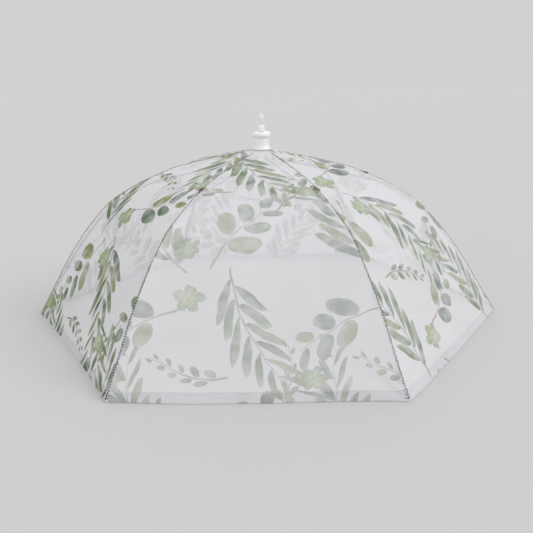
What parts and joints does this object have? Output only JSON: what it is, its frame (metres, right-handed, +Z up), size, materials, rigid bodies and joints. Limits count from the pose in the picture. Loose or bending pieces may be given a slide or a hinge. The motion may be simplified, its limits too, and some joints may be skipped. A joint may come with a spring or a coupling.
{
  "type": "folding mesh food cover",
  "caption": "Umbrella-style folding food cover: printed net over wire ribs that hinge on a crown hub, with stretchers, a sliding runner, a pull cord and a capped knob.",
  "frame": {"origin": "centre of the footprint, on the table surface that the open cover stands on", "axes": "+Z up along the cover's axis, +X to one of its corners, the front hem faces -Y"},
  "size_m": [0.5994, 0.5196, 0.2593],
  "materials": {
    "net": "fine white polyester net with a printed leaf pattern",
    "rib_steel": "dark steel wire",
    "stretcher_steel": "pale bright steel wire",
    "cap_plastic": "milky, slightly translucent",
    "hub_plastic": "satin white",
    "tip_plastic": "satin white",
    "cord_cotton": "twisted cream white cord",
    "tie_thread": "dark brown whipping thread"
  },
  "bodies": {
    "hub": {"top_hub": "hub_plastic", "hub_ring_wire": "rib_steel", "centre_tube": "hub_plastic", "top_cap": "cap_plastic", "cap_bead": "cap_plastic", "pull_cord": "cord_cotton", "cord_knot_top": "cord_cotton"},
    "runner": {"runner": "hub_plastic", "cord_knot_bottom": "cord_cotton"},
    "rib_1": {"rib_1": "rib_steel", "rib_clip_1": "rib_steel", "rib_tie_1": "tie_thread", "rib_tip_1": "tip_plastic"},
    "stretcher_1": {"stretcher_1": "stretcher_steel"},
    "net_1_left": {"net_panel_1_left": "net"},
    "net_1_right": {"net_panel_1_right": "net"},
    "rib_2": {"rib_2": "rib_steel", "rib_clip_2": "rib_steel", "rib_tie_2": "tie_thread", "rib_tip_2": "tip_plastic"},
    "stretcher_2": {"stretcher_2": "stretcher_steel"},
    "net_2_left": {"net_panel_2_left": "net"},
    "net_2_right": {"net_panel_2_right": "net"},
    "rib_3": {"rib_3": "rib_steel", "rib_clip_3": "rib_steel", "rib_tie_3": "tie_thread", "rib_tip_3": "tip_plastic"},
    "stretcher_3": {"stretcher_3": "stretcher_steel"},
    "net_3_left": {"net_panel_3_left": "net"},
    "net_3_right": {"net_panel_3_right": "net"},
    "rib_4": {"rib_4": "rib_steel", "rib_clip_4": "rib_steel", "rib_tie_4": "tie_thread", "rib_tip_4": "tip_plastic"},
    "stretcher_4": {"stretcher_4": "stretcher_steel"},
    "net_4_left": {"net_panel_4_left": "net"},
    "net_4_right": {"net_panel_4_right": "net"},
    "rib_5": {"rib_5": "rib_steel", "rib_clip_5": "rib_steel", "rib_tie_5": "tie_thread", "rib_tip_5": "tip_plastic"},
    "stretcher_5": {"stretcher_5": "stretcher_steel"},
    "net_5_left": {"net_panel_5_left": "net"},
    "net_5_right": {"net_panel_5_right": "net"},
    "rib_6": {"rib_6": "rib_steel", "rib_clip_6": "rib_steel", "rib_tie_6": "tie_thread", "rib_tip_6": "tip_plastic"},
    "stretcher_6": {"stretcher_6": "stretcher_steel"},
    "net_6_left": {"net_panel_6_left": "net"},
    "net_6_right": {"net_panel_6_right": "net"}
  },
  "joints": [
    {"name": "rib_1_fold", "type": "hinge", "parent": "hub", "child": "rib_1", "pos_m": [0.008, 0, 0.203], "axis": [0, 1, 0], "range_deg": [0, 52]},
    {"name": "stretcher_1_turn", "type": "hinge", "parent": "rib_1", "child": "stretcher_1", "pos_m": [0.13092, 0, 0.17645], "axis": [0, 1, 0], "range_deg": [-104, 0]},
    {"name": "net_1_left_turn", "type": "hinge", "parent": "rib_1", "child": "net_1_left", "pos_m": [0.00943, 0, 0.20467], "axis": [0.7615, 0, -0.6481], "range_deg": [0, 78], "deforming": ["net_panel_1_left"]},
    {"name": "net_1_right_turn", "type": "hinge", "parent": "rib_1", "child": "net_1_right", "pos_m": [0.00943, 0, 0.20467], "axis": [-0.7615, 0, 0.6481], "range_deg": [0, 78], "deforming": ["net_panel_1_right"]},
    {"name": "rib_2_fold", "type": "hinge", "parent": "hub", "child": "rib_2", "pos_m": [0.004, 0.00693, 0.203], "axis": [-0.866, 0.5, 0], "range_deg": [0, 52]},
    {"name": "stretcher_2_turn", "type": "hinge", "parent": "rib_2", "child": "stretcher_2", "pos_m": [0.06546, 0.11338, 0.17645], "axis": [-0.866, 0.5, 0], "range_deg": [-104, 0]},
    {"name": "net_2_left_turn", "type": "hinge", "parent": "rib_2", "child": "net_2_left", "pos_m": [0.00471, 0.00816, 0.20467], "axis": [0.3808, 0.6595, -0.6481], "range_deg": [0, 78], "deforming": ["net_panel_2_left"]},
    {"name": "net_2_right_turn", "type": "hinge", "parent": "rib_2", "child": "net_2_right", "pos_m": [0.00471, 0.00816, 0.20467], "axis": [-0.3808, -0.6595, 0.6481], "range_deg": [0, 78], "deforming": ["net_panel_2_right"]},
    {"name": "rib_3_fold", "type": "hinge", "parent": "hub", "child": "rib_3", "pos_m": [-0.004, 0.00693, 0.203], "axis": [-0.866, -0.5, 0], "range_deg": [0, 52]},
    {"name": "stretcher_3_turn", "type": "hinge", "parent": "rib_3", "child": "stretcher_3", "pos_m": [-0.06546, 0.11338, 0.17645], "axis": [-0.866, -0.5, 0], "range_deg": [-104, 0]},
    {"name": "net_3_left_turn", "type": "hinge", "parent": "rib_3", "child": "net_3_left", "pos_m": [-0.00471, 0.00816, 0.20467], "axis": [-0.3808, 0.6595, -0.6481], "range_deg": [0, 78], "deforming": ["net_panel_3_left"]},
    {"name": "net_3_right_turn", "type": "hinge", "parent": "rib_3", "child": "net_3_right", "pos_m": [-0.00471, 0.00816, 0.20467], "axis": [0.3808, -0.6595, 0.6481], "range_deg": [0, 78], "deforming": ["net_panel_3_right"]},
    {"name": "rib_4_fold", "type": "hinge", "parent": "hub", "child": "rib_4", "pos_m": [-0.008, 0, 0.203], "axis": [0, -1, 0], "range_deg": [0, 52]},
    {"name": "stretcher_4_turn", "type": "hinge", "parent": "rib_4", "child": "stretcher_4", "pos_m": [-0.13092, 0, 0.17645], "axis": [0, -1, 0], "range_deg": [-104, 0]},
    {"name": "net_4_left_turn", "type": "hinge", "parent": "rib_4", "child": "net_4_left", "pos_m": [-0.00943, 0, 0.20467], "axis": [-0.7615, 0, -0.6481], "range_deg": [0, 78], "deforming": ["net_panel_4_left"]},
    {"name": "net_4_right_turn", "type": "hinge", "parent": "rib_4", "child": "net_4_right", "pos_m": [-0.00943, 0, 0.20467], "axis": [0.7615, 0, 0.6481], "range_deg": [0, 78], "deforming": ["net_panel_4_right"]},
    {"name": "rib_5_fold", "type": "hinge", "parent": "hub", "child": "rib_5", "pos_m": [-0.004, -0.00693, 0.203], "axis": [0.866, -0.5, 0], "range_deg": [0, 52]},
    {"name": "stretcher_5_turn", "type": "hinge", "parent": "rib_5", "child": "stretcher_5", "pos_m": [-0.06546, -0.11338, 0.17645], "axis": [0.866, -0.5, 0], "range_deg": [-104, 0]},
    {"name": "net_5_left_turn", "type": "hinge", "parent": "rib_5", "child": "net_5_left", "pos_m": [-0.00471, -0.00816, 0.20467], "axis": [-0.3808, -0.6595, -0.6481], "range_deg": [0, 78], "deforming": ["net_panel_5_left"]},
    {"name": "net_5_right_turn", "type": "hinge", "parent": "rib_5", "child": "net_5_right", "pos_m": [-0.00471, -0.00816, 0.20467], "axis": [0.3808, 0.6595, 0.6481], "range_deg": [0, 78], "deforming": ["net_panel_5_right"]},
    {"name": "rib_6_fold", "type": "hinge", "parent": "hub", "child": "rib_6", "pos_m": [0.004, -0.00693, 0.203], "axis": [0.866, 0.5, 0], "range_deg": [0, 52]},
    {"name": "stretcher_6_turn", "type": "hinge", "parent": "rib_6", "child": "stretcher_6", "pos_m": [0.06546, -0.11338, 0.17645], "axis": [0.866, 0.5, 0], "range_deg": [-104, 0]},
    {"name": "net_6_left_turn", "type": "hinge", "parent": "rib_6", "child": "net_6_left", "pos_m": [0.00471, -0.00816, 0.20467], "axis": [0.3808, -0.6595, -0.6481], "range_deg": [0, 78], "deforming": ["net_panel_6_left"]},
    {"name": "net_6_right_turn", "type": "hinge", "parent": "rib_6", "child": "net_6_right", "pos_m": [0.00471, -0.00816, 0.20467], "axis": [-0.3808, 0.6595, 0.6481], "range_deg": [0, 78], "deforming": ["net_panel_6_right"]},
    {"name": "runner_slide", "type": "slide", "parent": "hub", "child": "runner", "axis": [0, 0, -1], "range_m": [0, 0.17332]}
  ],
  "couplings": [
    {"joint": "stretcher_1_turn", "follows": "rib_1_fold", "ratio": -2},
    {"joint": "net_1_left_turn", "follows": "rib_1_fold", "ratio": 1.5},
    {"joint": "net_1_right_turn", "follows": "rib_1_fold", "ratio": 1.5},
    {"joint": "rib_2_fold", "follows": "rib_1_fold", "ratio": 1},
    {"joint": "stretcher_2_turn", "follows": "rib_1_fold", "ratio": -2},
    {"joint": "net_2_left_turn", "follows": "rib_1_fold", "ratio": 1.5},
    {"joint": "net_2_right_turn", "follows": "rib_1_fold", "ratio": 1.5},
    {"joint": "rib_3_fold", "follows": "rib_1_fold", "ratio": 1},
    {"joint": "stretcher_3_turn", "follows": "rib_1_fold", "ratio": -2},
    {"joint": "net_3_left_turn", "follows": "rib_1_fold", "ratio": 1.5},
    {"joint": "net_3_right_turn", "follows": "rib_1_fold", "ratio": 1.5},
    {"joint": "rib_4_fold", "follows": "rib_1_fold", "ratio": 1},
    {"joint": "stretcher_4_turn", "follows": "rib_1_fold", "ratio": -2},
    {"joint": "net_4_left_turn", "follows": "rib_1_fold", "ratio": 1.5},
    {"joint": "net_4_right_turn", "follows": "rib_1_fold", "ratio": 1.5},
    {"joint": "rib_5_fold", "follows": "rib_1_fold", "ratio": 1},
    {"joint": "stretcher_5_turn", "follows": "rib_1_fold", "ratio": -2},
    {"joint": "net_5_left_turn", "follows": "rib_1_fold", "ratio": 1.5},
    {"joint": "net_5_right_turn", "follows": "rib_1_fold", "ratio": 1.5},
    {"joint": "rib_6_fold", "follows": "rib_1_fold", "ratio": 1},
    {"joint": "stretcher_6_turn", "follows": "rib_1_fold", "ratio": -2},
    {"joint": "net_6_left_turn", "follows": "rib_1_fold", "ratio": 1.5},
    {"joint": "net_6_right_turn", "follows": "rib_1_fold", "ratio": 1.5},
    {"joint": "runner_slide", "follows": "rib_1_fold", "m_per_rad": 0.19096}
  ]
}
